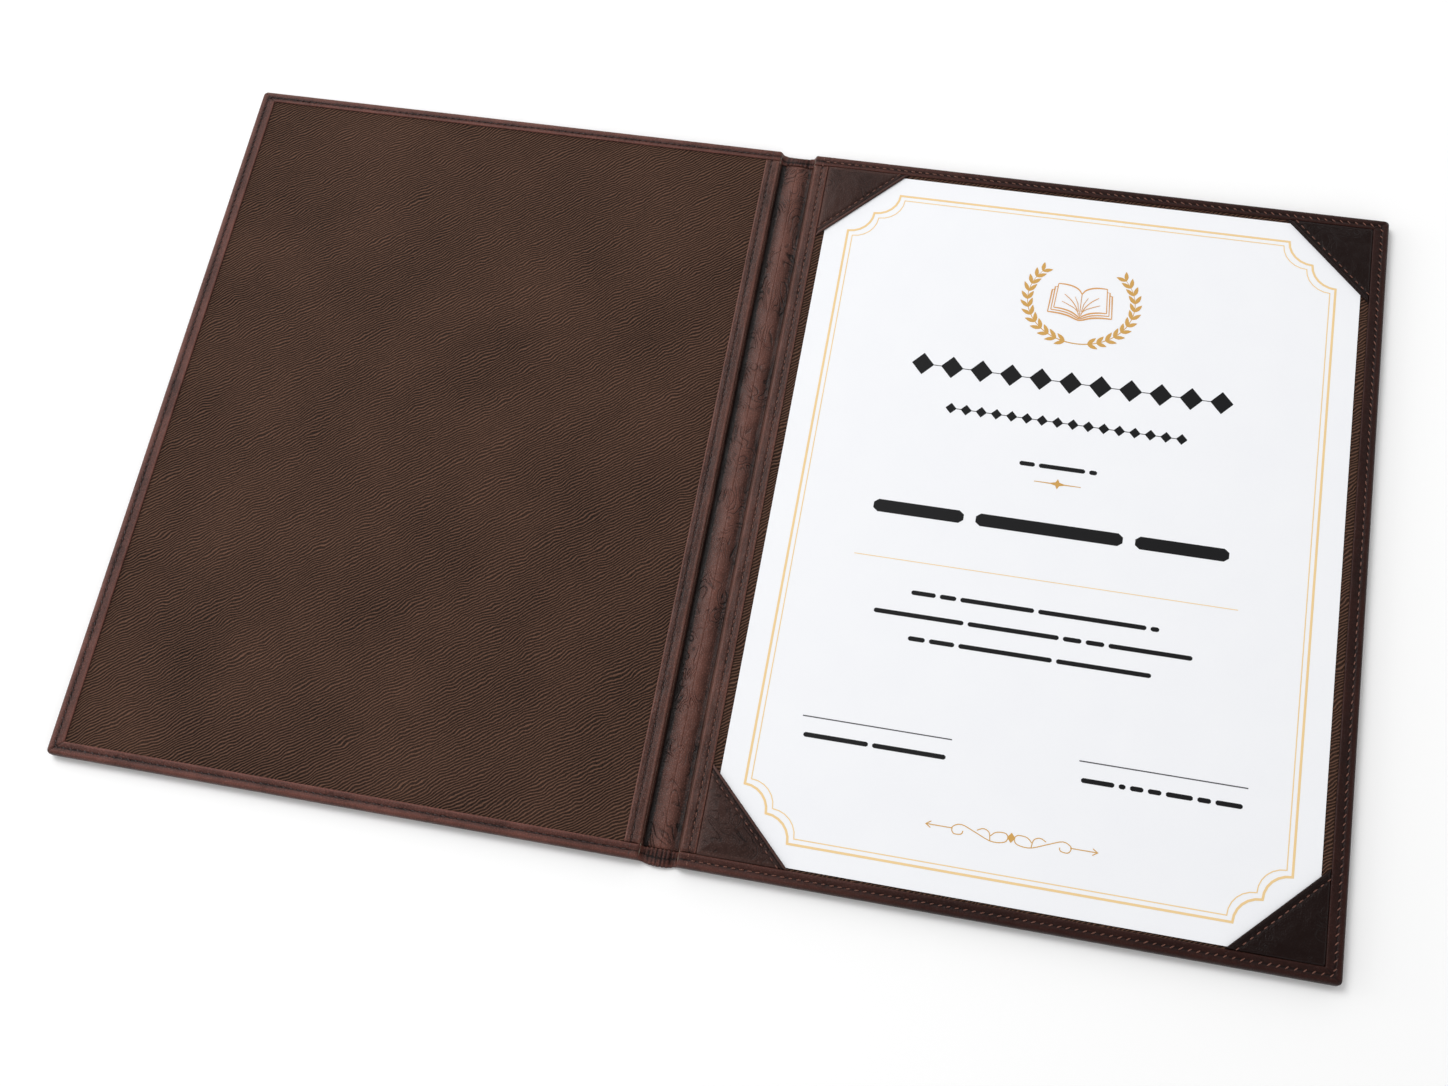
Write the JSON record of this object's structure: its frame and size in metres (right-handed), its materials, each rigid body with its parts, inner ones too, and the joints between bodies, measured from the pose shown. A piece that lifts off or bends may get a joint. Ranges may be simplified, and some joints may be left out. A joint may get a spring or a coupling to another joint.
{
  "type": "diploma cover",
  "caption": "Open book-style presentation cover with stitched edges, a soft spine and four corner pockets that hold a decorated certificate sheet.",
  "frame": {"origin": "on the surface it lies on, under the middle of the spine, at the middle of its height", "axes": "+X across from the front cover to the back cover, +Y up the page, +Z away from the surface"},
  "size_m": [0.4844, 0.3044, 0.0053],
  "materials": {
    "leatherette": "satin grained",
    "board": "matt",
    "pad": "matt",
    "lining": "matt ribbed",
    "paper": "matt",
    "gold_print": "matt print",
    "ink_print": "matt print",
    "thread": "waxed"
  },
  "bodies": {
    "back_cover": {"back_board": "board", "back_cover_skin": "leatherette", "back_lining": "lining", "back_spine_wing": "leatherette", "back_border_thread": "thread", "back_wing_thread": "thread", "head_spine_corner": "leatherette", "head_fore_corner": "leatherette", "tail_spine_corner": "leatherette", "tail_fore_corner": "leatherette", "head_spine_corner_thread": "thread", "head_fore_corner_thread": "thread", "tail_spine_corner_thread": "thread", "tail_fore_corner_thread": "thread", "certificate_sheet": "paper", "print_frame_outer": "gold_print", "print_frame_inner": "gold_print", "print_laurel_wreath": "gold_print", "print_open_book": "gold_print", "print_star_rule": "gold_print", "print_name_rule": "gold_print", "print_foot_scroll": "gold_print", "print_heading": "ink_print", "print_subheading": "ink_print", "print_lead_line": "ink_print", "print_name_line": "ink_print", "print_body_line_1": "ink_print", "print_body_line_2": "ink_print", "print_body_line_3": "ink_print", "print_signature_rule_left": "ink_print", "print_signature_rule_right": "ink_print", "print_caption_left": "ink_print", "print_caption_right": "ink_print"},
    "spine": {"spine_skin": "leatherette", "spine_pad": "pad", "spine_strip": "leatherette"},
    "front_cover": {"front_board": "board", "front_cover_skin": "leatherette", "front_lining": "lining", "front_spine_wing": "leatherette", "front_border_thread": "thread", "front_wing_thread": "thread"}
  },
  "joints": [
    {"name": "back_fold", "type": "hinge", "parent": "back_cover", "child": "spine", "pos_m": [0.0054, 0, 0.0012], "axis": [0, 1, 0], "range_deg": [0, 90]},
    {"name": "front_fold", "type": "hinge", "parent": "spine", "child": "front_cover", "pos_m": [-0.0054, 0, 0.0012], "axis": [0, 1, 0], "range_deg": [0, 90]}
  ]
}
